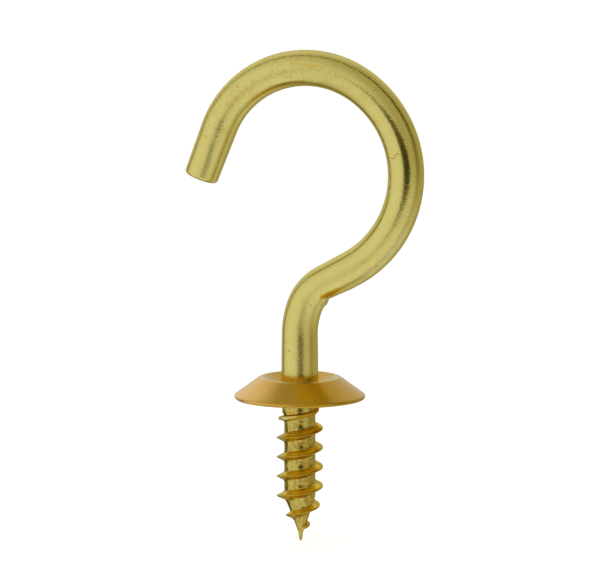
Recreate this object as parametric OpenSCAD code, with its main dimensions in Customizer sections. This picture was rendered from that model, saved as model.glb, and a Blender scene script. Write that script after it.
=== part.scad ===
// Cup hook: a bent round wire with a rolled wood-screw thread, and a pressed collar on its shank.
//
// The origin is the centre of the collar's seat, +Z runs up the screw's axis towards the hook,
// and the wire is bent in the XZ plane, with the ring of the hook bulging towards +X.

/* [Wire] */
// Diameter of the wire round the hook
wire_d = 3.88; // [3.7:0.01:4.8]
// How much thicker the shank is where the collar grips it
shank_swell = 0.15; // [0:0.01:0.4]
// How much thinner the wire is drawn at the cut end of the hook
tip_draw = 0.17; // [0:0.01:0.5]
// Radius on the edge of the cut end
tip_round = 0.4; // [0.1:0.05:0.8]

/* [Bends] */
// Straight shank from the seat to the start of the neck
shank_len = 6.95; // [4:0.05:20]
// Centreline radius of the neck's first, gentle bend
neck_start_r = 9.1; // [5:0.1:20]
// Angle turned in the neck's first bend
neck_start_angle = 19.5; // [5:0.5:30]
// Centreline radius of the neck's second, tight bend
neck_r = 4.8; // [3.5:0.1:8]
// Angle turned in the neck's second bend
neck_angle = 41.5; // [30:0.5:55]
// Straight wire between the neck and the ring
reach_len = 3.3; // [1.5:0.1:8]
// Centreline radius of the ring on its outward side
ring_r = 11.6; // [8:0.1:30]
// Angle turned round the ring's outward side
ring_angle = 118; // [90:1:130]
// Centreline radius of the ring over the top and down to the tip
crown_r = 10.25; // [7:0.05:28]
// Angle turned over the crown
crown_angle = 102; // [60:0.5:115]
// Straight end of the hook, down to its tip
tip_len = 5.85; // [1:0.05:10]

/* [Pinch inside the neck] */
// Depth of the crease where the wire buckled on the inside of the neck
pinch_depth = 0.23; // [0.05:0.01:0.4]
// How far round the wire the crease runs to each side
pinch_wrap = 60; // [40:1:75]
// Angle of the neck's second bend that is left above the crease
pinch_left = 9; // [4:1:20]
// Swell of the metal that was pushed out below the crease
pinch_swell = 0.06; // [0:0.01:0.15]

/* [Collar] */
// Outside diameter of the collar
collar_d = 14.2; // [12.5:0.1:30]
// Height of the collar's crest above its seat
collar_h = 2.35; // [2:0.01:4]
// Diameter of the crest
crest_d = 8.3; // [7:0.1:9]
// Thickness of the pressed sheet
sheet_t = 0.55; // [0.4:0.01:0.8]
// Inside radius of the bend along the crest
crest_in_r = 0.1; // [0.05:0.01:0.3]
// Angle at which the dish falls from the crest to the wire
dish_angle = 28; // [10:1:32]
// Radius on the outer edge of the rim
rim_round = 0.26; // [0.1:0.01:0.35]
// Height of the rim's widest line above the seat
rim_lift = 0.21; // [0.1:0.01:0.28]

/* [Screw] */
// Length of the screw from the seat to its point
screw_len = 15.73; // [12:0.01:40]
// Diameter over the thread
thread_d = 5.05; // [4.4:0.05:6]
// Diameter of the core between the threads
core_d = 3.4; // [2.6:0.05:3.6]
// Distance from one thread to the next
pitch = 2.12; // [1.8:0.01:3]
// Width of the thread where it leaves the core
thread_base = 1.05; // [0.6:0.05:1.2]
// Width of the flat on the thread's crest
thread_land = 0.12; // [0.05:0.01:0.3]
// How much thinner the plain blank under the collar is than the wire
blank_drop = 0.04; // [0:0.01:0.3]
// Length of the plain blank
blank_len = 1.64; // [1:0.01:6]
// Length over which the thread runs out on the blank
runout_len = 3.3; // [2:0.1:6]
// Length of the tapered gimlet point
point_len = 4.9; // [4:0.1:7]
// Length of the slim nib at the end of the point
nib_len = 0.9; // [0.5:0.05:1]
// Height above the tip at which the thread begins
thread_start_h = 1.45; // [1.45:0.05:2]
// Length over which it grows to its full height
thread_growth_len = 2.65; // [1.5:0.05:4]
// How far its turns are drawn out towards the tip
thread_draw_len = 0.2; // [0:0.01:0.25]
// Direction from the screw's axis in which the thread's crest would cross the level of the seat
thread_phase = 212; // [0:1:359]
// Sideways lean of the gimlet point
point_lean = 0.1; // [0:0.01:0.4]

/* [Hidden] */
$fn = 48;
overlap = 0.5;                  // how far one stretch of a solid runs on inside the next

wire_r = wire_d / 2;
shank_r = (wire_d + shank_swell) / 2;
tip_r = (wire_d - tip_draw) / 2;
blank_r = (wire_d - blank_drop) / 2;
core_r = core_d / 2;
collar_r = collar_d / 2;
crest_r = crest_d / 2;

// ---- The wire's route: straights are [length], bends are [radius, angle], + towards +X ----
route = [
    [neck_start_r, neck_start_angle],
    [neck_r, neck_angle],
    [reach_len],
    [ring_r, -ring_angle],
    [crown_r, -crown_angle],
    [tip_len]
];
sides = 40;                     // sides of the wire's section
ring_step = 4.5;                // degrees between sections round the ring
neck_step_len = 0.5;            // distance between sections along the neck
blend_len = 0.01;               // how much the foot of the bent wire is inset in the shank

// Length of a stretch of the route, and of the route before it
function run_of(stretch) = len(stretch) == 1 ? stretch[0] : stretch[0] * abs(stretch[1]) * PI / 180;
function run_before(k) = k == 0 ? 0 : run_before(k - 1) + run_of(route[k - 1]);

// A frame is [x, z, heading], with the heading measured up from +X
function moved(frame, stretch, share) =
    let (x = frame[0], z = frame[1], heading = frame[2])
    len(stretch) == 1
    ? let (run = share * stretch[0])
      [x + run * cos(heading), z + run * sin(heading), heading]
    : let (r = sign(stretch[1]) * stretch[0], turned = heading - share * stretch[1])
      [x + r * (sin(heading) - sin(turned)), z + r * (cos(turned) - cos(heading)), turned];
function frame_before(k) =
    k == 0 ? [0, shank_len, 90] : moved(frame_before(k - 1), route[k - 1], 1);
function stretch_at(s, k = 0) =
    k == len(route) - 1 || s < run_before(k + 1) ? k : stretch_at(s, k + 1);
function frame_at(s) =
    let (k = stretch_at(s))
    s < 0 ? [0, shank_len + s, 90]
    : moved(frame_before(k), route[k], (s - run_before(k)) / run_of(route[k]));

ring_start = run_before(3);
tip_start = run_before(5);
wire_run = run_before(6);
crease_at = run_before(2) - neck_r * pinch_left * PI / 180;
crease_low = 0.75;              // how far the buckle reaches below the crease
full_crease_len = 3;            // and above it, where the neck is long enough
full_swell_len = 1.6;           // how far the swell reaches below it, where there is room
neck_share = 0.9;               // share of a short neck that either may take
crease_high = min(full_crease_len, neck_share * (ring_start - crease_at));
swell_len = min(full_swell_len, neck_share * crease_at);
low_shares = [-1, -0.75, -0.5, -0.3, -0.12];    // sections below the crease, at shares of the swell
high_shares = [0.1, 0.27, 0.5, 0.75, 1];        // and above it, at shares of the buckle
crease_cut = 0.07;              // half the width of the sharp line along the crease
crease_bite_share = 1.3;        // depth of that line, as a share of the buckle
reach_sections = 3;             // sections along the straight between neck and ring
edge_steps = 4;                 // steps round the edge of the cut end

// ---- The collar's section: two flat flanks tangent to the round of the crest ----
crest_out_r = crest_in_r + sheet_t;
crest_z = collar_h - crest_out_r;
rim_run = collar_r - rim_round - crest_r;
rim_drop = crest_z - rim_lift;
flank_angle = atan2(rim_drop, rim_run) + asin((crest_out_r - rim_round) / norm([rim_run, rim_drop]));
flank_len = (rim_run - (crest_out_r - rim_round) * sin(flank_angle)) / cos(flank_angle);
dish_len = crest_r / cos(dish_angle);

// ---- The thread: a V-shaped ridge wound round the core, right-handed ----
steps = 36;                     // steps in one turn
thread_h = (thread_d - core_d) / 2;
point_start = -(screw_len - point_len);
nib_r = 0.25;                   // radius where the taper ends and the nib begins
nib_end_r = 0.15;               // radius close above the nib's blunt tip
nib_end_len = 0.1;              // length of that blunt tip
lean_share = 0.53;              // share of the point over which it leans off the axis
point_end = -(screw_len - nib_len);
ridge_bottom = -(screw_len - thread_start_h);
ridge_top = -0.2;               // height at which the thread has run out altogether
ring_top = ridge_top + thread_base;
growth_power = 0.3;             // how abruptly the thread begins on the point
runout_power = 0.6;             // how abruptly it ends on the blank
fillet_h_share = 0.13;          // height of the fillet point, as a share of the ridge
fillet_at_share = 0.42;         // its distance from the ridge's middle, as a share of the base
foot_share = 0.7;               // distance of the ridge's foot, as a share of the base
least_share = 0.3;              // least width of the ridge where it fades, as a share of the base
blank_sink_len = 0.13;          // how far the blank's chamfer ends inside the core
ridge_rows = floor((ridge_top - ridge_bottom) / pitch * steps);

// Radius of the core at a height
function core_at(z) =
    z >= point_start ? core_r
    : nib_r + (core_r - nib_r) * max(0, (z - point_end) / (point_start - point_end));

// How far the point has leant off the screw's axis at a height
function lean_at(z) =
    let (share = min(1, max(0, (point_start - z) / (lean_share * point_len))))
    point_lean * pow(share, 2) * (3 - 2 * share);

// How far the thread's turns are drawn out towards the tip at a height
function drawn_at(z) =
    thread_draw_len * max(0, (point_start + pitch / 2 - z) / (point_len + pitch / 2));

// Height of the ridge at a height: it grows on the point and runs out on the blank
function fade(share, power) = pow(min(1, max(0, share)), power);
function ridge_h(z) =
    thread_h * fade((z - ridge_bottom) / thread_growth_len, growth_power)
    * fade((ridge_top - z) / runout_len, runout_power);

// ---- Hook ----
// Radius of the wire along its route: drawn down towards the tip, with a broken edge on the cut
function wire_radius(s) =
    let (left = wire_run - s)
    s <= tip_start ? wire_r
    : left >= tip_round ? tip_r + (wire_r - tip_r) * (left - tip_round) / (tip_len - tip_round)
    : tip_r - tip_round + sqrt(max(0, pow(tip_round, 2) - pow(tip_round - left, 2)));

// Depth of the buckle on the inside of the neck, at a place along the wire and an angle round it
function buckle(s, around) =
    let (from_crease = s - crease_at,
         along = from_crease < 0 ? 1 + from_crease / crease_low : 1 - from_crease / crease_high,
         cut = abs(from_crease) < crease_cut / 2 ? crease_bite_share : 1,
         below = min(1, max(0, -from_crease / swell_len)),
         wrap = pow(cos(90 * min(1, abs(around) / pinch_wrap)), 2))
    (pinch_depth * max(0, along) * cut - pinch_swell * sin(180 * sqrt(below))) * wrap;

// The bent wire: a round section swept along the route, from inside the shank to the cut tip
module wire() {
    neck_low = [for (s = [0:neck_step_len:crease_at - swell_len - neck_step_len / 4]) s];
    neck_crease = [for (share = low_shares) crease_at + share * swell_len];
    neck_cut = [for (side = [-1:1]) crease_at + side * crease_cut];
    neck_high = [for (share = high_shares) crease_at + share * crease_high];
    reach_start = crease_at + crease_high;
    reach = [for (i = [1:reach_sections])
        reach_start + (ring_start - reach_start) * i / reach_sections];
    ring_count = ceil(ring_angle / ring_step);
    crown_count = ceil(crown_angle / ring_step);
    ring = [for (i = [1:ring_count]) ring_start + (run_before(4) - ring_start) * i / ring_count];
    crown = [for (i = [1:crown_count]) run_before(4) + (tip_start - run_before(4)) * i / crown_count];
    edge = [for (i = [0:edge_steps]) wire_run - tip_round * (1 - sin(90 * i / edge_steps))];
    stations = concat([-overlap], neck_low, neck_crease, neck_cut, neck_high, reach, ring, crown, edge);
    last = len(stations) - 1;

    function spot(s, j) =
        let (frame = frame_at(s),
             around = 360 * j / sides,
             inset = s < 0 ? blend_len : 0,
             r = wire_radius(s) - inset - buckle(s, around > 180 ? around - 360 : around))
        [frame[0] + r * cos(around) * sin(frame[2]),
         r * sin(around),
         frame[1] - r * cos(around) * cos(frame[2])];
    function at(i, j) = i * sides + j % sides;
    points = [for (s = stations, j = [0:sides - 1]) spot(s, j)];
    skin = [for (i = [0:last - 1], j = [0:sides - 1])
        each [[at(i, j), at(i + 1, j), at(i + 1, j + 1)], [at(i, j), at(i + 1, j + 1), at(i, j + 1)]]];
    foot = [[for (j = [0:sides - 1]) at(0, j)]];
    cut_end = [[for (j = [sides - 1:-1:0]) at(last, j)]];
    polyhedron(points, concat(skin, foot, cut_end));
}

// The shank, gripped by the collar at its foot and easing down to the wire's own diameter
module shank() {
    cylinder(h = collar_h, r = shank_r);
    translate([0, 0, collar_h])
        cylinder(h = shank_len - collar_h, r1 = shank_r, r2 = wire_r + blend_len);
}

// The plain blank under the collar, with a chamfer where the core begins
module blank() {
    chamfer = blank_r - core_r + blank_sink_len;
    translate([0, 0, -blank_len]) cylinder(h = blank_len + overlap, r = blank_r);
    translate([0, 0, -blank_len - chamfer]) cylinder(h = chamfer, r1 = blank_r - chamfer, r2 = blank_r);
}

module thread() {
    // The ridge's section: place along the axis as a share of its base, and height as a share of its own
    land = thread_land / thread_base / 2;
    section = [
        [-foot_share, 0], [-fillet_at_share, fillet_h_share], [-land, 1],
        [land, 1], [fillet_at_share, fillet_h_share], [foot_share, 0]
    ];
    columns = len(section);
    rows = ridge_rows;
    function turn_at(i) = ridge_bottom + pitch * i / steps;
    function angle_of(i) = thread_phase + 360 * turn_at(i) / pitch;
    function centre_of(i) = turn_at(i) - drawn_at(turn_at(i));
    function place(i, r, z) = [lean_at(z) + r * cos(angle_of(i)), r * sin(angle_of(i)), z];
    function spot(i, j) =
        let (swell = i == 0 || i == rows ? 0 : ridge_h(turn_at(i)),
             z = centre_of(i) + section[j][0] * thread_base * max(least_share, swell / thread_h))
        place(i, core_at(z) + section[j][1] * swell, z);
    low = (rows + 1) * columns;             // first point of the ring below the ridge
    high = low + steps;                     // first point of the ring above it
    nib = high + steps;                     // first point of the ring close above the tip
    apex = nib + steps;
    nib_end = nib_end_len - screw_len;
    function at(i, j) = i * columns + j;
    function low_at(i) = low + i % steps;
    function high_at(i) = high + i % steps;
    function nib_at(i) = nib + i % steps;
    function patch(a, b, c, d) = [[a, b, c], [a, c, d]];
    last_turn = rows - steps;

    points = concat(
        [for (i = [0:rows], j = [0:columns - 1]) spot(i, j)],
        [for (i = [0:steps - 1]) place(i, nib_r, point_end)],
        [for (i = [0:steps - 1]) place(i, core_r, ring_top)],
        [for (i = [0:steps - 1]) place(i, nib_end_r, nib_end)],
        [[lean_at(-screw_len), 0, -screw_len]]
    );
    flanks = [for (i = [0:rows - 1], j = [0:columns - 2])
        each patch(at(i, j), at(i, j + 1), at(i + 1, j + 1), at(i + 1, j))];
    valleys = [for (i = [0:last_turn - 1])
        each patch(at(i, columns - 1), at(i + steps, 0), at(i + steps + 1, 0), at(i + 1, columns - 1))];
    below = [for (i = [0:steps - 2])
        each patch(low_at(i), at(i, 0), at(i + 1, 0), low_at(i + 1))];
    above = [for (i = [last_turn + 1:rows - 1])
        each patch(at(i, columns - 1), high_at(i), high_at(i + 1), at(i + 1, columns - 1))];
    // Where the ridge's first and last ends lie on the neighbouring turn
    start_side = concat([at(steps, 0)], [for (j = [columns - 1:-1:0]) at(0, j)], [low_at(0)]);
    start_seam = concat(
        [[low_at(steps - 1), at(steps - 1, 0), at(steps, 0)]],
        [for (k = [0:len(start_side) - 2]) [low_at(steps - 1), start_side[k], start_side[k + 1]]]);
    end_side = concat([at(last_turn, columns - 1)], [for (j = [0:columns - 1]) at(rows, j)],
                      [high_at(rows)]);
    end_seam = concat(
        [for (k = [0:len(end_side) - 2]) [at(last_turn + 1, columns - 1), end_side[k], end_side[k + 1]]],
        [[at(last_turn + 1, columns - 1), high_at(rows), high_at(last_turn + 1)]]);
    nib_side = [for (i = [0:steps - 1])
        each patch(nib_at(i), low_at(i), low_at(i + 1), nib_at(i + 1))];
    tip = [for (i = [0:steps - 1]) [apex, nib_at(i), nib_at(i + 1)]];
    cap = [[for (i = [steps - 1:-1:0]) high_at(i)]];
    polyhedron(points, concat(flanks, valleys, below, above, start_seam, end_seam, nib_side, tip, cap));
}

module hook() {
    color("khaki") {
        shank();
        wire();
        blank();
        thread();
    }
}

// ---- Collar ----
// A strip of the sheet that leaves the crest along +X, ending in a broken outer edge
module flank_strip() {
    square_end = flank_len + rim_round;
    translate([0, crest_in_r]) {
        square([flank_len, sheet_t]);
        square([square_end, sheet_t - rim_round]);
    }
    translate([flank_len, crest_out_r - rim_round]) circle(r = rim_round);
}

// The round of the crest, between its two flanks
module crest_bend() {
    far = 2 * crest_out_r;
    lap = 1.5;                  // degrees by which the bend runs on inside its flanks
    intersection() {
        difference() {
            circle(r = crest_out_r);
            circle(r = crest_in_r);
        }
        polygon([
            [0, 0],
            far * [sin(flank_angle + lap), cos(flank_angle + lap)],
            [0, far],
            far * [-sin(dish_angle + lap), cos(dish_angle + lap)]
        ]);
    }
}

module collar() {
    color("peru")
    rotate_extrude()
    intersection() {
        translate([crest_r, crest_z]) {
            rotate(-flank_angle) flank_strip();
            crest_bend();
            rotate(dish_angle) translate([-dish_len, crest_in_r]) square([dish_len, sheet_t]);
        }
        translate([shank_r, 0]) square([collar_r, collar_h]);
    }
}

hook();
collar();
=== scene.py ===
"""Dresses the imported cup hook: one bent and threaded brass wire, and the pressed collar on its shank.

Sizes are in millimetres unless a comment says otherwise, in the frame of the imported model: the origin
is the centre of the collar's seat, +Z runs up the screw's axis to the hook, and the wire is bent in
the XZ plane. Meshes are scaled to metres when they are made.
"""

from __future__ import annotations

import logging
import math
from dataclasses import dataclass, field
from enum import Enum
from functools import reduce
from typing import Any, ClassVar, Iterable, Sequence

import bpy
import numpy as np
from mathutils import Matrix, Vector

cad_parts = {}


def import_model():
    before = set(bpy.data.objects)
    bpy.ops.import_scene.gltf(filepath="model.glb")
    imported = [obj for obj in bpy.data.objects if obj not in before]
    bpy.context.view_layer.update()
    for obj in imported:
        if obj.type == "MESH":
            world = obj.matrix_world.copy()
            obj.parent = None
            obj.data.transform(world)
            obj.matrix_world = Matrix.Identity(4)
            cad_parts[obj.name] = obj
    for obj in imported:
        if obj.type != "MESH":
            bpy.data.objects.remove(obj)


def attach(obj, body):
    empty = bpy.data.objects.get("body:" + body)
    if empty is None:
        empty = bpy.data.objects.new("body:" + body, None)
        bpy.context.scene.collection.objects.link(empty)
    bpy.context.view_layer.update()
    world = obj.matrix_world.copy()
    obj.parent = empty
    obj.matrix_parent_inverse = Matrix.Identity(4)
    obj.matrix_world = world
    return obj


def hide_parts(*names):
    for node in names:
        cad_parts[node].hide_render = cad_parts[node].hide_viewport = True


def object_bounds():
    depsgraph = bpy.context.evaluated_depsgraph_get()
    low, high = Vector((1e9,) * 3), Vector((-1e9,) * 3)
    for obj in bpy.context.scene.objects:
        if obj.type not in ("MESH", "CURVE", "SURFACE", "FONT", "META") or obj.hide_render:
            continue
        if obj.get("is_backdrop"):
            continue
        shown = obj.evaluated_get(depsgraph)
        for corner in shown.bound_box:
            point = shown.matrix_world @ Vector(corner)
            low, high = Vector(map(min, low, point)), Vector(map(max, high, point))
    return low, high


LOG = logging.getLogger("cup_hook")

MM = 0.001
WHITE = (1.0, 1.0, 1.0, 1.0)

SHANK_R = 2.015        # radius of the wire where the collar grips it
COLLAR_H = 2.35        # height of the collar's crest above its seat
STAND_OFF = 366.0      # how far from the model the lens is, and the tent's cloth

Colour = tuple[float, float, float, float]
Point = tuple[float, float, float]
Range = tuple[float, float]             # the value at which a mask is 0, and the value at which it is 1
Section = list[tuple[float, float]]     # the points of an outline, each a radius and a height
Sizes = np.ndarray | float
Socket = bpy.types.NodeSocket
Paint = Colour | Socket                 # a colour, or the socket that carries one
Arrow = Point | Socket                  # a vector, or the socket that carries one


def direction(azimuth: float, elevation: float) -> Vector:
    """Returns the unit vector towards an azimuth, 0 at -Y and 90 at +X, and an elevation, in degrees."""
    a, e = math.radians(azimuth), math.radians(elevation)
    return Vector((math.sin(a) * math.cos(e), -math.cos(a) * math.cos(e), math.sin(e)))


# ---------------------------------------------------------------------------------------------
# Shader maths
# ---------------------------------------------------------------------------------------------


class Maths(Enum):
    """What a Math node works out."""

    ADD = "ADD"
    SUBTRACT = "SUBTRACT"
    MULTIPLY = "MULTIPLY"
    DIVIDE = "DIVIDE"
    POWER = "POWER"
    SIZE = "ABSOLUTE"
    LARGER = "MAXIMUM"
    SMALLER = "MINIMUM"


class VectorMaths(Enum):
    """What a Vector Math node works out."""

    SUBTRACT = "SUBTRACT"
    DIVIDE = "DIVIDE"
    SCALE = "SCALE"
    UNIT = "NORMALIZE"
    ALONG = "DOT_PRODUCT"
    DISTANCE = "DISTANCE"


class Output(Enum):
    """What a graph's shader is laid on."""

    SURFACE = "ShaderNodeOutputMaterial"
    WORLD = "ShaderNodeOutputWorld"


class Value:
    """A number that varies over a surface. Arithmetic on it adds Math nodes to its graph."""

    def __init__(self, graph: Graph, socket: Socket) -> None:
        """Wraps the socket that carries the number."""
        self.graph = graph
        self.socket = socket

    def __add__(self, other: Number) -> Value:
        """Returns self + other."""
        return self.graph.math(Maths.ADD, self, other)

    def __radd__(self, other: Number) -> Value:
        """Returns other + self."""
        return self.graph.math(Maths.ADD, other, self)

    def __sub__(self, other: Number) -> Value:
        """Returns self - other."""
        return self.graph.math(Maths.SUBTRACT, self, other)

    def __rsub__(self, other: Number) -> Value:
        """Returns other - self."""
        return self.graph.math(Maths.SUBTRACT, other, self)

    def __mul__(self, other: Number) -> Value:
        """Returns self * other."""
        return self.graph.math(Maths.MULTIPLY, self, other)

    def __rmul__(self, other: Number) -> Value:
        """Returns other * self."""
        return self.graph.math(Maths.MULTIPLY, other, self)

    def __truediv__(self, other: Number) -> Value:
        """Returns self / other."""
        return self.graph.math(Maths.DIVIDE, self, other)

    def __rtruediv__(self, other: Number) -> Value:
        """Returns other / self."""
        return self.graph.math(Maths.DIVIDE, other, self)

    def __pow__(self, other: Number) -> Value:
        """Returns self to a power."""
        return self.graph.math(Maths.POWER, self, other)

    def __rpow__(self, other: Number) -> Value:
        """Returns other to the power of self."""
        return self.graph.math(Maths.POWER, other, self)

    def __abs__(self) -> Value:
        """Returns the size of self without its sign."""
        return self.graph.math(Maths.SIZE, self)

    def at_least(self, other: Number) -> Value:
        """Returns the larger of self and other."""
        return self.graph.math(Maths.LARGER, self, other)

    def at_most(self, other: Number) -> Value:
        """Returns the smaller of self and other."""
        return self.graph.math(Maths.SMALLER, self, other)

    def ramp(self, start: float, end: float) -> Value:
        """Turns self into a mask that rises smoothly from 0 at start to 1 at end.

        Args:
            start: The value of self where the mask is 0.
            end: The value of self where the mask is 1. It may be the smaller of the two.

        Returns:
            The mask.
        """
        low, high = min(start, end), max(start, end)
        sockets = {"Value": self, "From Min": low, "From Max": high}
        node = self.graph.node("ShaderNodeMapRange", {"interpolation_type": "SMOOTHSTEP"}, sockets)
        mask = Value(self.graph, node.outputs["Result"])
        return mask if start < end else 1 - mask


Number = Value | float


@dataclass(frozen=True)
class Band:
    """A stretch of a value, with the ranges over which its mask rises and falls."""

    rise: Range
    fall: Range

    def mask(self, value: Value) -> Value:
        """Returns a mask that is 1 in the middle of the band."""
        return value.ramp(*self.fall) * value.ramp(*self.rise)


class Graph:
    """The nodes of one material or world, with a short way to add each kind that this file uses."""

    def __init__(self, tree: bpy.types.NodeTree) -> None:
        """Empties the tree and keeps it."""
        tree.nodes.clear()
        self.tree = tree

    def node(
        self,
        kind: str,
        settings: dict[str, Any] | None = None,
        sockets: dict[str | int, Any] | None = None,
    ) -> bpy.types.Node:
        """Adds a node of any kind.

        Args:
            kind: The node's type, such as ShaderNodeMath.
            settings: Its properties, which are set first.
            sockets: A number, colour, wrapped value or socket for each input, by name or place.

        Returns:
            The new node.
        """
        made = self.tree.nodes.new(kind)
        for name, setting in (settings or {}).items():
            setattr(made, name, setting)
        for name, given in (sockets or {}).items():
            source = given.socket if isinstance(given, Value) else given
            if isinstance(source, Socket):
                self.tree.links.new(source, made.inputs[name])
            else:
                made.inputs[name].default_value = source
        return made

    def math(self, operation: Maths, *terms: Number) -> Value:
        """Works out a number from one number or two, with a Math node."""
        made = self.node("ShaderNodeMath", {"operation": operation.value}, dict(enumerate(terms)))
        return Value(self, made.outputs[0])

    def vector_node(self, operation: VectorMaths, sockets: dict[str | int, Any]) -> bpy.types.Node:
        """Adds a Vector Math node with the values or links of its sockets."""
        return self.node("ShaderNodeVectorMath", {"operation": operation.value}, sockets)

    def vector(self, operation: VectorMaths, *terms: Arrow) -> Socket:
        """Works out a vector from one vector or two."""
        return self.vector_node(operation, dict(enumerate(terms))).outputs["Vector"]

    def measure(self, operation: VectorMaths, *terms: Arrow) -> Value:
        """Works out a number from two vectors."""
        return Value(self, self.vector_node(operation, dict(enumerate(terms))).outputs["Value"])

    def scaled(self, vector: Arrow, by: Number) -> Socket:
        """Works out a vector times a number."""
        return self.vector_node(VectorMaths.SCALE, {0: vector, "Scale": by}).outputs["Vector"]

    def place(self) -> Socket:
        """Returns the place on the object, in millimetres."""
        metres = self.node("ShaderNodeTexCoord").outputs["Object"]
        return self.scaled(metres, 1 / MM)

    def split(self, vector: Socket) -> tuple[Value, Value, Value]:
        """Returns the three parts of a vector."""
        parts = self.node("ShaderNodeSeparateXYZ", sockets={0: vector}).outputs
        return Value(self, parts[0]), Value(self, parts[1]), Value(self, parts[2])

    def along(self, vector: Socket, axis: Sequence[float]) -> Value:
        """Returns how far a vector reaches along a fixed axis."""
        return self.measure(VectorMaths.ALONG, vector, tuple(axis))

    def distance(self, place: Socket, point: Point) -> Value:
        """Returns the distance from a fixed point."""
        return self.measure(VectorMaths.DISTANCE, place, point)

    def attribute(self, name: str) -> Value:
        """Returns a number that the mesh itself carries."""
        return Value(self, self.node("ShaderNodeAttribute", {"attribute_name": name}).outputs["Fac"])

    def noise(self, place: Socket, size: float, detail: float = 2.0, tall: float = 1.0) -> Value:
        """Adds soft noise from 0 to 1.

        Args:
            place: Where the noise is read, in millimetres.
            size: The width of its blotches, in millimetres.
            detail: How many finer layers it has.
            tall: How many times taller than wide the blotches are.

        Returns:
            The noise.
        """
        squeezed = self.vector(VectorMaths.DIVIDE, place, (1.0, 1.0, tall))
        sockets = {"Vector": squeezed, "Scale": 1 / size, "Detail": detail}
        return Value(self, self.node("ShaderNodeTexNoise", sockets=sockets).outputs[0])

    def specks(self, place: Socket, spacing: float, radius: float, share: float) -> Value:
        """Scatters small round specks.

        Args:
            place: Where they are read, in millimetres.
            spacing: The width of the cells that may hold one, in millimetres.
            radius: The radius of the largest speck, in millimetres.
            share: The share of cells that hold one.

        Returns:
            A mask that is 1 inside a speck.
        """
        edge = 0.3 * radius
        sockets = {"Vector": place, "Scale": 1 / spacing}
        cells = self.node("ShaderNodeTexVoronoi", {"feature": "F1"}, sockets).outputs
        chance = self.split(cells["Color"])[0]
        size = (chance - (1 - share)).at_least(0) * (radius / share / spacing)
        return (Value(self, cells["Distance"]) - size).ramp(edge / spacing, 0)

    def mix(self, mask: Number, under: Paint, over: Paint) -> Socket:
        """Lays one colour over another, as far as a mask shows it, and returns the mixed colour."""
        return self.node("ShaderNodeMix", {"data_type": "RGBA"}, {0: mask, 6: under, 7: over}).outputs[2]

    def layered(self, base: Paint, *layers: tuple[Number, Paint]) -> Socket:
        """Lays several colours over one another, in order.

        Args:
            base: The lowest colour.
            layers: The mask of each further colour, and the colour.

        Returns:
            The socket of the mixed colour.
        """
        for mask, over in layers:
            base = self.mix(mask, base, over)
        return base

    def end(self, shader: bpy.types.Node, output: Output = Output.SURFACE) -> None:
        """Ends the graph in a shader."""
        self.node(output.value, sockets={"Surface": shader.outputs[0]})

    def end_in_metal(self, colour: Socket, rough: Value, height: Value, grazing: Colour = WHITE) -> None:
        """Ends the graph in bare metal.

        Args:
            colour: Its colour.
            rough: Its roughness.
            height: The height of its fine relief, in millimetres.
            grazing: How much of the light it still gives back at a low angle.
        """
        bump = self.node("ShaderNodeBump", sockets={"Height": height, "Distance": MM, "Strength": 1.0})
        sockets = {
            "Base Color": colour,
            "Metallic": 1.0,
            "Roughness": rough,
            "Specular Tint": grazing,
            "Normal": bump.outputs[0],
        }
        self.end(self.node("ShaderNodeBsdfPrincipled", sockets=sockets))


def new_material(name: str) -> tuple[bpy.types.Material, Graph]:
    """Makes an empty material.

    Args:
        name: The material's name.

    Returns:
        The material and its graph.
    """
    made = bpy.data.materials.new(name)
    made.use_nodes = True
    return made, Graph(made.node_tree)


# ---------------------------------------------------------------------------------------------
# Finishes
# ---------------------------------------------------------------------------------------------


@dataclass(frozen=True)
class Spot:
    """A round mark: its centre, its radius, and the share of the radius over which it is full."""

    centre: Point
    radius: float
    full: float = 0.35

    def mask(self, graph: Graph, place: Socket) -> Value:
        """Returns a mask that is 1 in the middle of the spot."""
        return graph.distance(place, self.centre).ramp(self.radius, self.full * self.radius)


@dataclass(frozen=True)
class Stroke:
    """A mark drawn through several places, with the half width of its dense middle and its soft edge."""

    places: tuple[Point, ...]
    width: float
    edge: float
    strength: float = 1.0

    def mask(self, graph: Graph, place: Socket) -> Value:
        """Returns a mask that is as high as the stroke is strong."""
        runs = (self.off_line(graph, place, *ends) for ends in zip(self.places, self.places[1:]))
        return reduce(Value.at_most, runs).ramp(self.width + self.edge, self.width) * self.strength

    @staticmethod
    def off_line(graph: Graph, place: Socket, start: Point, end: Point) -> Value:
        """Measures how far a place lies off the straight line between two others.

        Args:
            graph: The graph that the nodes are added to.
            place: The place, in millimetres.
            start: Where the line starts.
            end: Where it ends.

        Returns:
            The distance, in millimetres.
        """
        run = Vector(end) - Vector(start)
        offset = graph.vector(VectorMaths.SUBTRACT, place, start)
        share = (graph.along(offset, run) / run.length_squared).at_least(0).at_most(1)
        return graph.measure(VectorMaths.DISTANCE, offset, graph.scaled(tuple(run), share))


def marked(graph: Graph, place: Socket, marks: Iterable[Spot | Stroke]) -> Value:
    """Returns a mask that shows all of some marks."""
    return reduce(Value.at_least, (mark.mask(graph, place) for mark in marks))


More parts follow.
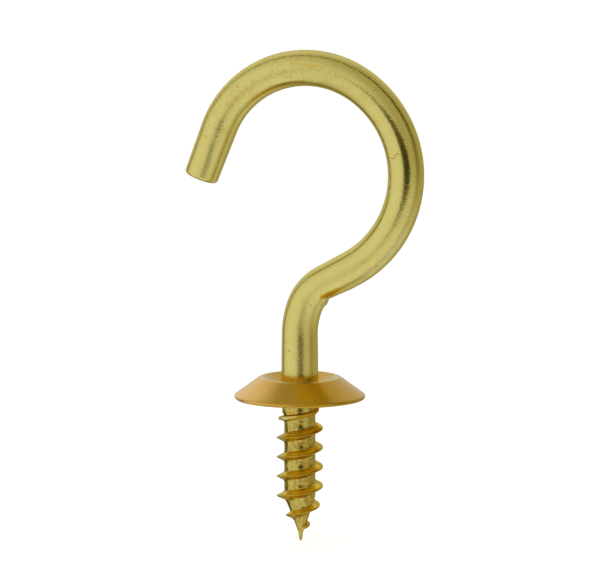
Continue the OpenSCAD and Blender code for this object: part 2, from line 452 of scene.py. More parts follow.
@dataclass(frozen=True)
class HookBrass:
    """The satin, pale yellow brass of the wire, with its handling marks, dirt in the rolled thread, and
    painted reflection, shade and sheen in its colour.
    """

    thread: ClassVar[str] = "thread_flank"    # the mesh's own mark of the thread's flanks
    clean: Colour = (0.625, 0.555, 0.178, 1.0)
    warm: Colour = (0.580, 0.430, 0.100, 1.0)
    fleck: Colour = (0.330, 0.250, 0.060, 1.0)
    # A painted orange reflection of the brass's own bends and of the collar.
    reflected_orange: Colour = (0.600, 0.345, 0.015, 1.0)
    umber: Colour = (0.270, 0.190, 0.040, 1.0)
    # The next three colours are painted: the gold reflection that the thread's flanks throw on one
    # another and that the collar throws on the shank's foot, a brighter painted light on the upper
    # turns, and a darker painted shade near the crests.
    reflected_gold: Colour = (0.860, 0.605, 0.065, 1.0)
    lit_gold: Colour = (1.000, 0.730, 0.090, 1.0)
    shaded_gold: Colour = (0.500, 0.315, 0.030, 1.0)
    # The next two colours are a painted sheen on the thread's flanks at the screw's left and right
    # sides.
    pale_sheen: Colour = (0.500, 0.450, 0.190, 1.0)
    dim_sheen: Colour = (0.520, 0.420, 0.075, 1.0)
    dull: Colour = (0.450, 0.345, 0.060, 1.0)
    brown: Colour = (0.430, 0.215, 0.015, 1.0)
    olive: Colour = (0.180, 0.155, 0.030, 1.0)
    pale: Colour = (0.720, 0.670, 0.450, 1.0)
    # The colour of a painted dark reflection and painted shade on the screw's core.
    dark: Colour = (0.110, 0.085, 0.015, 1.0)
    grazing: Colour = (0.84, 0.78, 0.58, 1.0)     # how much of the light is left at a low angle
    roughness: float = 0.185
    grain: float = 0.011                      # height of the satin grain
    ripple: float = 0.002                     # height of the soft waviness under it
    dark_line_azimuth: float = -45.0              # where a line of painted dark reflection runs down the screw
    sheen_azimuth: float = -78.0               # where the flanks show a painted sheen instead of the painted gold reflection
    under_seat: Range = (-0.1, -0.5)          # heights over which the screw's own finish begins
    last_turn: Range = (-2.5, -2.0)           # over which the turn that runs out begins
    upper_turns: Range = (-5.5, -3.5)         # over which the flanks' painted reflection turns brighter, as painted light
    lower_turns: Range = (-3.5, -5.5)         # over which that painted sheen shows on the opposite side, too
    taper: Range = (-11.5, -13.0)             # over which the point grows duller
    collar_reflection: Band = Band((0.0, 2.0), (3.0, 2.2))      # heights of a painted reflection of the collar, in and just above the collar's opening
    shank: Band = Band((0.0, 1.0), (12.0, 9.0))     # heights from the seat up to the neck
    ring_top: Range = (25.0, 33.0)            # heights over which the ring is more handled
    ring_left: Range = (8.0, 2.0)             # and how far towards +X it is
    pits: tuple[Spot, ...] = (
        Spot((-6.4, -1.8, 33.7), 0.15),
        Spot((-4.7, -1.9, 34.4), 0.08),
        Spot((-1.5, -1.9, 36.1), 0.08),
        Spot((-1.1, -1.8, 34.8), 0.10),
        Spot((-0.6, -1.7, 34.8), 0.12),
        Spot((2.8, -1.9, 35.9), 0.09),
        Spot((3.8, -1.9, 34.8), 0.10),
        Spot((7.0, -1.9, 33.8), 0.10),
        Spot((7.4, -1.9, 33.4), 0.10),
        Spot((6.8, -0.9, 35.7), 0.10),
        Spot((8.6, -1.7, 30.8), 0.08),
        Spot((11.6, -1.9, 23.6), 0.11),
        Spot((1.6, -1.7, 10.4), 0.13),
        Spot((0.9, -1.9, 10.0), 0.10),
        Spot((-0.8, -1.8, 5.3), 0.12),
        Spot((3.6, -1.5, 14.5), 0.08),
        Spot((4.3, -1.8, 14.2), 0.08),
        Spot((6.0, -1.7, 15.6), 0.08),
        Spot((7.3, -1.9, 15.1), 0.08),
    )
    # Painted orange reflections: along the ring, in the crease under the neck, and on the screw's first
    # turn under the collar.
    reflection_strokes: tuple[Stroke, ...] = (
        Stroke(((-5.6, -1.2, 31.5), (-4.8, -1.3, 32.3)), 0.03, 0.24, 0.5),
        Stroke(((-4.8, -1.3, 32.3), (-3.8, -1.3, 33.0), (-2.8, -1.3, 33.5)), 0.04, 0.26),
        Stroke(((-2.8, -1.3, 33.5), (-1.8, -1.2, 33.8)), 0.03, 0.24, 0.6),
        Stroke(((-6.2, -1.3, 30.8), (-7.0, -1.4, 29.9), (-7.5, -1.4, 28.8)), 0.03, 0.22, 0.2),
        Stroke(((-7.5, -1.4, 28.8), (-8.3, -1.4, 26.8), (-8.9, -1.2, 24.9)), 0.03, 0.22, 0.3),
        Stroke(((-0.6, -1.8, 36.3), (0.8, -1.9, 36.15), (2.3, -1.9, 36.0)), 0.03, 0.28, 0.3),
        Stroke(((8.6, -0.3, 29.4), (9.4, -0.3, 27.0), (9.8, -0.3, 24.5)), 0.05, 0.30, 0.3),
        Stroke(((2.8, -1.5, 11.32), (3.3, -1.4, 11.45)), 0.24, 0.14),
        Stroke(((3.3, -1.4, 11.45), (3.8, -1.35, 11.7)), 0.40, 0.12),
        Stroke(((3.8, -1.35, 11.7), (4.4, -1.4, 12.05)), 0.24, 0.18),
        Stroke(((4.4, -1.35, 12.05), (5.0, -1.4, 12.35)), 0.12, 0.22, 0.75),
        Stroke(((5.0, -1.4, 12.35), (5.7, -1.4, 12.75)), 0.05, 0.24, 0.35),
        Stroke(((-1.5, -0.9, -1.68), (-0.9, -1.7, -1.55), (-0.2, -1.9, -1.44)), 0.04, 0.10, 0.8),
        Stroke(((-1.0, -2.03, -1.90), (-0.45, -2.22, -1.87), (0.3, -2.2, -1.76)), 0.02, 0.09, 0.7),
        Stroke(((-0.8, -2.1, -2.06), (-0.2, -2.2, -2.00), (0.3, -2.1, -1.90)), 0.06, 0.10),
        Stroke(((0.3, -2.2, -1.75), (0.9, -1.9, -1.65), (1.5, -1.4, -1.45)), 0.14, 0.16, 0.8),
    )
    # Painted shade in the thread's roots, on the front of the screw.
    root_shade: tuple[Spot, ...] = (
        Spot((0.40, -1.90, -1.15), 0.40),
        Spot((0.45, -1.70, -3.00), 0.40),
        Spot((0.47, -1.70, -5.18), 0.40),
        Spot((0.47, -1.70, -7.30), 0.40),
        Spot((0.42, -1.70, -9.45), 0.28),
    )
    # Dark olive lines of painted shade: beside the neck's crease, down the middle of the tip, and along
    # the top of the ring.
    shade_strokes: tuple[Stroke, ...] = (
        Stroke(((4.8, -1.4, 12.2), (5.8, -1.4, 12.8), (7.8, -1.4, 13.9)), 0.02, 0.34, 0.25),
        Stroke(((2.6, -1.1, 10.3), (2.9, -0.9, 10.6)), 0.05, 0.20, 0.35),
        Stroke(((-8.3, -1.9, 30.0), (-9.2, -1.9, 27.9), (-9.7, -1.8, 25.4)), 0.05, 0.50, 0.20),
        Stroke(((-9.3, -1.9, 27.3), (-9.7, -1.8, 25.4), (-10.2, -1.8, 24.1)), 0.05, 0.45, 0.36),
        Stroke(((-1.8, -1.2, 33.8), (0.6, -1.2, 34.2), (2.4, -1.2, 34.05)), 0.03, 0.20, 0.3),
    )
    scratches: tuple[Stroke, ...] = (
        Stroke(
            ((10.2, -1.5, 26.4), (10.6, -1.8, 26.3), (10.9, -1.9, 26.9), (11.2, -1.9, 26.8)), 0.02, 0.06
        ),
    )
    # Pale scuff marks on the ring's lower right, and a painted highlight on the folds of the buckle
    # below the neck's crease.
    scuffs_and_glints: tuple[Stroke, ...] = (
        Stroke(((11.9, -1.1, 18.6), (10.8, -1.3, 17.1), (10.2, -1.3, 16.1)), 0.14, 0.30),
        Stroke(((10.2, -1.3, 16.1), (8.9, -1.4, 14.9), (7.5, -1.4, 13.7)), 0.08, 0.26),
        # painted highlight on the buckle's folds
        Stroke(((2.25, -1.55, 10.35), (2.3, -1.5, 10.55)), 0.08, 0.16),
    )

    def material(self) -> bpy.types.Material:
        """Builds the finish.

        Returns:
            The material.
        """
        made, graph = new_material("hook_brass")
        place = graph.place()
        x, y, z = graph.split(place)
        off_axis = (x * x + y * y) ** 0.5
        flank = graph.attribute(self.thread)

        patch = graph.noise(place, size=1.1, detail=3.0)
        blotch = graph.noise(place, size=0.45)
        dots = graph.noise(place, size=0.17)
        satin = graph.noise(place, size=0.20, detail=1.0)
        wave = graph.noise(place, size=1.3, detail=1.0)
        # noise for the dirt on the core, and for breaking up the painted dark line
        soil_and_shade = graph.noise(place, size=0.42, detail=4.0, tall=1.5)
        smut = graph.noise(place, size=0.30, detail=3.0, tall=1.3)

        specks = graph.specks(place, spacing=1.1, radius=0.06, share=0.3)
        pits = marked(graph, place, self.pits).at_least(specks)
        root_shaded = marked(graph, place, self.root_shade) * smut.ramp(0.20, 0.45)
        scratched = marked(graph, place, self.scratches)
        reflected = marked(graph, place, self.reflection_strokes) * blotch.ramp(0.1, 0.4)
        shaded = marked(graph, place, self.shade_strokes)
        scuffed_and_glinting = marked(graph, place, self.scuffs_and_glints) * blotch.ramp(0.36, 0.62)

        handled = z.ramp(*self.ring_top) * x.ramp(*self.ring_left)
        on_flank = flank.ramp(0.05, 0.20)
        on_core = z.ramp(*self.under_seat) * flank.ramp(0.25, 0.05)
        on_last_turn = z.ramp(*self.last_turn)

        # The cosines of the angles round the screw from where the painted sheen is, and from where the
        # painted dark line is.
        side = graph.along(place, direction(self.sheen_azimuth, 0)) / off_axis
        facing = graph.along(place, direction(self.dark_line_azimuth, 0)) / off_axis
        side_sheen = side.ramp(0.70, 0.90).at_least(side.ramp(-0.92, -0.99) * z.ramp(*self.lower_turns))
        side_sheen = side_sheen.at_least(side.ramp(-0.05, 0.20) * on_last_turn)
        # A painted dark reflection down one side of the core, and painted shade in the roots.
        painted_dark = (on_core * facing.ramp(0.984, 0.995) * soil_and_shade.ramp(0.36, 0.48)).at_least(root_shaded)
        soiled = on_core * soil_and_shade.ramp(0.47, 0.60)
        smutty = on_core * smut.ramp(0.58, 0.68)

        # The flanks' painted gold reflection, brighter on the upper turns as painted light, darker near
        # the crests as painted shade.
        flanks = graph.mix(z.ramp(*self.upper_turns), self.reflected_gold, self.lit_gold)
        flanks = graph.mix(flank.ramp(0.75, 0.90), flanks, self.shaded_gold)
        # The painted sheen on the flanks at the screw's sides, with plain brass on the turn that runs
        # out.
        wear_and_sheen = graph.mix(side.ramp(-0.2, 0.2), self.dim_sheen, self.pale_sheen)
        wear_and_sheen = graph.mix(on_last_turn, wear_and_sheen, self.clean)

        # Each layer is where its colour shows, and how strongly, and then the colour.
        colour = graph.layered(
            self.clean,
            (patch.ramp(0.45, 0.70) * (handled * 0.18 + 0.22), self.warm),
            (dots.ramp(0.52, 0.70) * (handled * 0.24 + 0.22), self.fleck),
            # painted reflection on the thread's flanks
            (on_flank, flanks),
            # painted sheen on the flanks at the sides
            (on_flank * side_sheen, wear_and_sheen),
            # painted reflection of the collar on the foot of the shank
            (self.collar_reflection.mask(z) * patch.ramp(0.2, 0.5), self.reflected_gold),
            (on_core * (z.ramp(*self.taper) * 0.15 + 0.60), self.dull),
            (soiled * 0.65, self.brown),
            (smutty * 0.70, self.olive),
            # painted dark reflection and painted shade
            (painted_dark * 0.85, self.dark),
            # painted shade lines
            (shaded, self.olive),
            # painted orange reflection
            (reflected * 0.95, self.reflected_orange),
            (pits.at_least(scratched) * 0.80, self.umber),
            # pale scuff marks, and the painted highlight
            (scuffed_and_glinting * 0.55, self.pale),
        )
        rough = (
            self.roughness
            + (patch - 0.5) * 0.08
            + pits * 0.2
            + scuffed_and_glinting * 0.2
            - on_core * 0.05
            + reflected * 0.12
            + on_flank * 0.14
            + self.shank.mask(z) * 0.05
        )
        height = (
            satin * self.grain
            + wave * self.ripple
            - pits * 0.015
            - scratched * 0.010
            + scuffed_and_glinting * blotch * 0.010
            - soiled * 0.010
        )
        graph.end_in_metal(colour, rough, height, self.grazing)
        return made


@dataclass(frozen=True)
class CollarBrass:
    """The warmer, finely blasted brass of the collar, with wear along its crest, where a painted
    highlight lies too, and painted light, reflection and shade on its flank and rim.
    """

    clean: Colour = (0.525, 0.320, 0.054, 1.0)
    # The colour of a painted pool of light on the flank's left.
    painted_light: Colour = (0.700, 0.435, 0.120, 1.0)
    rich: Colour = (0.630, 0.350, 0.010, 1.0)
    # The colour of the wear along the crest, and of a painted highlight there.
    wear_and_sheen: Colour = (0.455, 0.430, 0.165, 1.0)
    dark: Colour = (0.160, 0.100, 0.030, 1.0)
    roughness: float = 0.27
    grain: float = 0.0075                     # height of the blasted grain
    crest_drop: Range = (0.14, 0.02)          # how far under the crest's top the wear and the painted highlight reach
    crest_band: Range = (0.45, 0.10)          # and how far in and out from it
    # A painted pool of light on the flank's left, and a rich orange painted reflection right of the
    # middle.
    painted_light_patch: Spot = Spot((-5.0, -3.9, 0.9), 4.4, 0.4)
    painted_reflection_patch: Spot = Spot((2.4, -5.1, 1.3), 3.0, 0.4)
    # Painted shade along the bottom of the rim, on the left and on the right.
    soil_and_shade: tuple[Stroke, ...] = (
        Stroke(((-7.0, -0.9, 0.1), (-6.2, -3.3, 0.05), (-4.9, -5.0, 0.0)), 0.06, 0.12, 0.7),
        Stroke(((7.0, 0.6, 0.3), (7.0, -1.4, 0.25)), 0.05, 0.15, 0.4),
    )

    def material(self, crest_r: float, crest_top: float) -> bpy.types.Material:
        """Builds the finish.

        Args:
            crest_r: The radius of the collar's crest.
            crest_top: The height of the crest.

        Returns:
            The material.
        """
        made, graph = new_material("collar_brass")
        place = graph.place()
        x, y, z = graph.split(place)
        off_axis = (x * x + y * y) ** 0.5

        mottle = graph.noise(place, size=2.2, detail=3.0)
        blast = graph.noise(place, size=0.13, detail=3.0)
        wear = graph.noise(place, size=0.7, detail=3.0)
        pits = graph.specks(place, spacing=1.1, radius=0.06, share=0.25)
        on_crest = z.ramp(*(crest_top - drop for drop in self.crest_drop))
        on_crest = on_crest * abs(off_axis - crest_r).ramp(*self.crest_band)
        # Wear along the crest, and a painted highlight there.
        wear_and_sheen = on_crest * wear.ramp(0.38, 0.56)
        # The masks of the painted light and of the painted reflection.
        painted_light, rich = (patch.mask(graph, place) for patch in (self.painted_light_patch, self.painted_reflection_patch))

        colour = graph.layered(
            self.clean,
            (painted_light, self.painted_light),
            # random rich tone, and the painted reflection right of the middle
            ((mottle.ramp(0.42, 0.72) * 0.3).at_least(rich * 0.9), self.rich),
            (blast.ramp(0.50, 0.72) * 0.20, self.rich),
            (wear_and_sheen * 0.75, self.wear_and_sheen),
            # painted shade along the rim
            *((stroke.mask(graph, place), self.dark) for stroke in self.soil_and_shade),
            (pits * 0.6, self.dark),
        )
        rough = self.roughness + (wear - 0.5) * 0.10 - wear_and_sheen * 0.06
        graph.end_in_metal(colour, rough, blast * self.grain - pits * 0.010)
        return made


# ---------------------------------------------------------------------------------------------
# Mesh making
# ---------------------------------------------------------------------------------------------


def smooth_mesh(name: str, points: np.ndarray, faces: Iterable[Sequence[int]]) -> bpy.types.Object:
    """Makes a smooth-shaded mesh object.

    Args:
        name: The object's name.
        points: Its points in millimetres, one row each.
        faces: Its faces, each a row of point numbers, anticlockwise from outside.

    Returns:
        The object, in the scene.
    """
    mesh = bpy.data.meshes.new(name)
    mesh.from_pydata((points * MM).tolist(), [], list(faces))
    mesh.polygons.foreach_set("use_smooth", [True] * len(mesh.polygons))
    mesh.update()
    made = bpy.data.objects.new(name, mesh)
    bpy.context.scene.collection.objects.link(made)
    return made


def angles(count: int) -> np.ndarray:
    """Returns evenly spaced angles round the Z axis, in radians from +X."""
    return np.linspace(0, 2 * math.pi, count, endpoint=False)


def circles(radius: Sizes, height: Sizes, around: np.ndarray, shift: Sizes = 0.0) -> np.ndarray:
    """Places rings of points round the Z axis.

    Args:
        radius: The radius of each ring, one to a row, or of each of its points.
        height: The height of each ring, one to a row.
        around: The angles of a ring's points, in radians.
        shift: How far towards +X the middle of each ring lies, one to a row.

    Returns:
        The points, one row of them to a ring.
    """
    x = shift + radius * np.cos(around)
    return np.stack([x, radius * np.sin(around), np.broadcast_to(height, x.shape)], axis=-1)


def ring_faces(rings: int, sides: int, closed: bool = False) -> list[tuple[int, ...]]:
    """Joins each ring of points to the next with four-sided faces.

    Args:
        rings: The number of rings.
        sides: The number of points in a ring.
        closed: Whether the last ring joins the first.

    Returns:
        The faces.
    """
    faces: list[tuple[int, ...]] = []
    for i in range(rings if closed else rings - 1):
        low, high = i * sides, (i + 1) % rings * sides
        for j in range(sides):
            k = (j + 1) % sides
            faces.append((low + j, low + k, high + k, high + j))
    return faces


# ---------------------------------------------------------------------------------------------
# The hook
# ---------------------------------------------------------------------------------------------


@dataclass(frozen=True)
class Stretch:
    """One stretch of the wire's centreline: its length, and the angle it turns, + towards +X."""

    run: float
    turn: float = 0.0

    @classmethod
    def arc(cls, radius: float, degrees: float) -> Stretch:
        """Returns a bend of a radius through an angle in degrees."""
        turn = math.radians(degrees)
        return cls(radius * abs(turn), turn)

    def follow(self, start: Spine, share: float) -> Spine:
        """Follows the centreline along a share of this stretch.

        Args:
            start: Where the stretch starts.
            share: The share of it, from 0 to 1.

        Returns:
            The place on the centreline.
        """
        if not self.turn:
            return start.ahead(share * self.run)
        radius = self.run / self.turn
        heading = start.heading - share * self.turn
        return Spine(
            start.x + radius * (math.sin(start.heading) - math.sin(heading)),
            start.z + radius * (math.cos(heading) - math.cos(start.heading)),
            heading,
        )


@dataclass(frozen=True)
class Spine:
    """A place on the centreline, with its heading in radians up from +X."""

    x: float
    z: float
    heading: float = math.pi / 2

    def ahead(self, run: float) -> Spine:
        """Returns the place that lies straight ahead."""
        x, z = self.x + run * math.cos(self.heading), self.z + run * math.sin(self.heading)
        return Spine(x, z, self.heading)


@dataclass
class Screw:
    """The wood screw below the seat: a plain blank, a rolled thread that runs out on it, and a point."""

    length: float = 15.73
    blank_r: float = 1.92
    blank_len: float = 1.64
    core_r: float = 1.70
    thread_r: float = 2.525
    pitch: float = 2.12
    base: float = 1.05             # width of the ridge at the core
    land: float = 0.06             # half the width of its crest, as a share of the base
    land_gain: float = 0.6         # how much blunter the crest is where the thread runs out
    land_most: float = 0.3         # and how blunt at most
    fillet_share: float = 0.13     # height of the fillet point, as a share of the ridge
    fillet_at: float = 0.42        # its distance from the ridge's middle, as a share of the base
    foot_at: float = 0.7           # distance of the ridge's foot, as a share of the base
    least_base: float = 0.3        # how narrow the ridge gets where it is low, as a share of the base
    top: float = -0.2              # height at which the thread has run out
    runout: float = 3.3            # length over which it runs out
    runout_power: float = 0.6      # how abruptly it ends there
    start: float = 1.45            # height above the tip at which the thread begins
    growth: float = 2.65           # length over which it grows to its full height
    growth_power: float = 0.3      # how abruptly it begins
    drawn: float = 0.2             # how far its turns are drawn out towards the tip
    point_len: float = 4.9
    nib_r: float = 0.25
    nib_len: float = 0.9
    nib_bluntness: float = 0.3     # power of the nib's outline, blunter where it is smaller
    phase: float = math.radians(212)     # angle at which the crest's line, carried on, meets the seat
    lean: float = 0.10             # how far the point leans towards +X
    lean_len: float = 2.6          # length of the point over which it leans off the axis
    step: float = 0.045            # distance between rings of the mesh
    # where the nib's rings lie, as shares of its length
    nib_rings: tuple[float, ...] = (0.002, 0.01, 0.03, 0.07, 0.13, 0.22, 0.35, 0.5, 0.65, 0.8)

    @property
    def point_start(self) -> float:
        """Height where the point begins to taper."""
        return self.point_len - self.length

    @property
    def point_end(self) -> float:
        """Height where the taper ends and the nib begins."""
        return self.nib_len - self.length

    def heights(self) -> np.ndarray:
        """Spaces the mesh's rings, close together on the nib.

        Returns:
            Their heights, from the nib's tip up to the seat.
        """
        nib = -self.length + self.nib_len * np.array(self.nib_rings)
        count = round(-self.point_end / self.step)
        return np.concatenate([nib, np.linspace(self.point_end, 0, count, endpoint=False)])

    def centre_x(self, z: np.ndarray) -> np.ndarray:
        """Returns how far the point has leant off the axis at each height."""
        share = np.clip((self.point_start - z) / self.lean_len, 0, 1)
        return self.lean * share**2 * (3 - 2 * share)

    def core(self, z: np.ndarray) -> np.ndarray:
        """Works out the radius of the core.

        Args:
            z: The height, at or below the seat.

        Returns:
            The radius at each height.
        """
        taper = np.clip((z - self.point_end) / (self.point_start - self.point_end), 0, 1)
        cone = self.nib_r + (self.core_r - self.nib_r) * taper
        nib = self.nib_r * np.clip((z + self.length) / self.nib_len, 0, 1) ** self.nib_bluntness
        return np.where(z < self.point_end, nib, cone)

    def ridge(self, off: np.ndarray, land: np.ndarray) -> np.ndarray:
        """Works out the section of the thread's ridge.

        Args:
            off: The distance from its middle, as a share of its base.
            land: Half the width of its crest, as a share of its base.

        Returns:
            Its height, from 1 on the crest to 0 past the foot of the fillet.
        """
        flank = np.clip((self.fillet_at - off) / (self.fillet_at - land), 0, 1)
        foot = np.clip((self.foot_at - off) / (self.foot_at - self.fillet_at), 0, 1)
        return self.fillet_share * foot**2 + (1 - self.fillet_share) * flank

    def surface(self, z: np.ndarray, around: np.ndarray) -> tuple[np.ndarray, np.ndarray]:
        """Works out the screw's surface.

        Args:
            z: The height, at or below the seat.
            around: The angle round the axis, in radians.

        Returns:
            The radius at each place, and how far up the thread's flank it lies, from 0 to 1.
        """
        full = self.thread_r - self.core_r
        crest = self.pitch * (around - self.phase) / (2 * math.pi)
        half = self.pitch / 2
        turn = z + self.drawn * np.maximum(0, (self.point_start + half - z) / (self.point_len + half))
        off = (turn - crest + half) % self.pitch - half
        centre = turn - off
        grown = np.clip((centre + self.length - self.start) / self.growth, 0, 1) ** self.growth_power
        left = np.clip((self.top - centre) / self.runout, 0, 1) ** self.runout_power
        land = np.minimum(self.land + self.land_gain * (1 - left), self.land_most)
        width = self.base * np.maximum(self.least_base, grown * left)
        core = self.core(z)
        chamfer = np.clip((z + self.blank_len) / (self.blank_r - self.core_r) + 1, 0, 1)
        shaft = core + (self.blank_r - self.core_r) * chamfer
        share = self.ridge(np.abs(off) / width, land)
        ridge = core + share * full * grown * left
        return np.maximum(shaft, ridge), np.where(ridge > shaft, share, 0)

    def rings(self, around: np.ndarray) -> tuple[np.ndarray, np.ndarray]:
        """Places the screw's rings of points.

        Args:
            around: The angles of a ring's points, in radians.

        Returns:
            The points, one row of them to a ring, and how far up the thread's flank each one lies.
        """
        z = self.heights()[:, None]
        radius, flank = self.surface(z, around)
        return circles(radius, z, around, self.centre_x(z)), flank


@dataclass
class ThreadedHook:
    """One length of brass wire: screw, shank, buckled neck, open ring and cut tip."""

    wire_r: float = 1.94
    shank_r: float = SHANK_R
    tip_r: float = 1.855
    tip_round: float = 0.4
    collar_h: float = COLLAR_H
    shank_len: float = 6.95
    seat_ease: float = 0.3                    # height over which it widens from the screw's blank
    bends: tuple[Stretch, ...] = (
        Stretch.arc(9.1, 19.5),
        Stretch.arc(4.8, 41.5),
        Stretch(3.3),
        Stretch.arc(11.6, -118),
        Stretch.arc(10.25, -102),
        Stretch(5.85),
    )
    pinch_depth: float = 0.23                 # how deep the buckle is
    pinch_wrap: float = math.radians(60)      # how far round the wire it reaches, each way
    pinch_left: float = math.radians(9)       # what is left of the neck's turn above the crease
    pinch_low: float = 0.75                   # how far down the wire it reaches
    pinch_high: float = 3.0                   # and how far up
    pinch_cut: float = 0.07                   # half the length of the sharper cut at its middle
    pinch_bite: float = 1.3                   # how many times deeper that is
    bulge: float = 0.06                       # how far the metal stands out below the crease
    bulge_from: float = 1.6                   # and how far down the wire
    sides: int = 96
    step: float = 0.2                         # distance between rings of the mesh
    fine_step: float = 0.04                   # and at the buckle
    seat_rings: int = 8
    tip_rings: int = 9
    # where the rings of the tip's cut face lie, as shares of its radius
    cut_rings: tuple[float, ...] = (0.8, 0.55, 0.3, 0.1)
    screw: Screw = field(default_factory=Screw)
    brass: HookBrass = field(default_factory=HookBrass)

    @property
    def run(self) -> float:
        """Length of the centreline above the shank."""
        return sum(bend.run for bend in self.bends)

    @property
    def tip_start(self) -> float:
        """Where the straight tip begins."""
        return self.run - self.bends[-1].run

    @property
    def crease(self) -> float:
        """Where the wire is buckled on the inside of the neck."""
        neck = self.bends[1]
        return self.bends[0].run + neck.run * (1 - self.pinch_left / neck.turn)

    def spine(self, s: float) -> Spine:
        """Finds a place on the centreline.

        Args:
            s: The length along the wire from the top of the shank, below 0 on the shank itself.

        Returns:
            The place.
        """
        here = Spine(0.0, self.shank_len)
        if s < 0:
            return here.ahead(s)
        for bend in self.bends[:-1]:
            if s < bend.run:
                return bend.follow(here, s / bend.run)
            here = bend.follow(here, 1.0)
            s -= bend.run
        return here.ahead(s)

    def stations(self) -> np.ndarray:
        """Spaces the mesh's rings along the wire, close together at the seat, the buckle and the tip.

        Returns:
            Their lengths along the wire from the top of the shank.
        """
        seat, seated = -self.shank_len, -self.shank_len + self.seat_ease
        near, far = self.crease - self.pinch_low, self.crease + self.pinch_high
        tip = self.run - self.tip_round
        edge = self.tip_round * np.sin(np.linspace(0, math.pi / 2, self.tip_rings))
        return np.concatenate(
            [
                np.linspace(seat, seated, self.seat_rings, endpoint=False),
                np.arange(seated, near, self.step),
                np.arange(near, far, self.fine_step),
                np.arange(far, tip, self.step),
                tip + edge,
            ]
        )

    def wire(self, s: np.ndarray, around: np.ndarray) -> np.ndarray:
        """Works out the wire's radius above the seat.

        Args:
            s: The length along the wire from the top of the shank.
            around: The angle round it, in radians, from the inside of the neck.

        Returns:
            The radius at each place.
        """
        height = s + self.shank_len
        eased = np.clip((height - self.collar_h) / (self.shank_len - self.collar_h), 0, 1)
        radius = self.shank_r + (self.wire_r - self.shank_r) * eased
        seated = np.clip(height / self.seat_ease, 0, 1)
        radius = self.screw.blank_r + (radius - self.screw.blank_r) * seated
        drawn = np.clip((s - self.tip_start) / (self.run - self.tip_round - self.tip_start), 0, 1)
        radius = radius + (self.tip_r - self.wire_r) * drawn
        inside = np.clip(self.tip_round - (self.run - s), 0, self.tip_round)
        radius = radius - self.tip_round + np.sqrt(self.tip_round**2 - inside**2)
        return radius - self.buckle(s, around)

    def buckle(self, s: np.ndarray, around: np.ndarray) -> np.ndarray:
        """Works out how deep the metal has folded in on the inside of the neck.

        Args:
            s: The length along the wire from the top of the shank.
            around: The angle round it, in radians, from the inside of the neck.

        Returns:
            The depth at each place, which is below 0 where the metal stands out instead.
        """
        off = s - self.crease
        fall = np.where(off < 0, 1 + off / self.pinch_low, 1 - off / self.pinch_high)
        turned = np.abs((around + math.pi) % (2 * math.pi) - math.pi)
        wrap = np.cos(math.pi / 2 * np.clip(turned / self.pinch_wrap, 0, 1)) ** 2
        bite = 1 + (self.pinch_bite - 1) * np.clip(1 - np.abs(off) / self.pinch_cut, 0, 1)
        swell = self.bulge * np.sin(math.pi * np.sqrt(np.clip(-off / self.bulge_from, 0, 1))) * wrap
        return self.pinch_depth * np.clip(fall, 0, 1) * bite * wrap - swell

    def rings(self, around: np.ndarray) -> np.ndarray:
        """Places the rings of points above the seat, square to the centreline.

        Args:
            around: The angles of a ring's points, in radians.

        Returns:
            The points, one row of them to a ring.
        """
        s = self.stations()
        spines = [self.spine(float(at)) for at in s]
        centre = np.array([[here.x, 0.0, here.z] for here in spines])
        across = np.array([[math.sin(here.heading), 0.0, -math.cos(here.heading)] for here in spines])
        sideways = np.array([0.0, 1.0, 0.0])
        out = np.cos(around)[:, None] * across[:, None] + np.sin(around)[:, None] * sideways
        return centre[:, None] + self.wire(s[:, None], around)[..., None] * out

    def build(self) -> bpy.types.Object:
        """Builds the hook as one closed tube and dresses it.

        Returns:
            The hook's object.
        """
        around = angles(self.sides)
        screw, flank = self.screw.rings(around)
        wire = self.rings(around)
        middle = wire[-1].mean(axis=0)
        cut = [middle + (wire[-1] - middle) * share for share in self.cut_rings]
        rings = np.concatenate([screw, wire, cut])
        ends = [[self.screw.lean, 0, -self.screw.length], middle]
        points = np.concatenate([rings.reshape(-1, 3), ends])

        faces = ring_faces(len(rings), self.sides)
        nib, tip = len(points) - 2, len(points) - 1
        last = nib - self.sides
        for j in range(self.sides):
            k = (j + 1) % self.sides
            faces.append((nib, k, j))
            faces.append((tip, last + j, last + k))

        made = smooth_mesh("threaded_hook", points, faces)
        marks = made.data.attributes.new(HookBrass.thread, "FLOAT", "POINT")
        marks.data.foreach_set("value", np.pad(flank.ravel(), (0, len(points) - flank.size)))
        self.dress(made)
        return made

    def dress(self, made: bpy.types.Object) -> None:
        """Gives the hook its brass and its place in the frame.

        Args:
            made: The hook's object.
        """
        made.data.materials.append(self.brass.material())
        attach(made, "root")
        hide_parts("hook")


# ---------------------------------------------------------------------------------------------
# The collar
# ---------------------------------------------------------------------------------------------


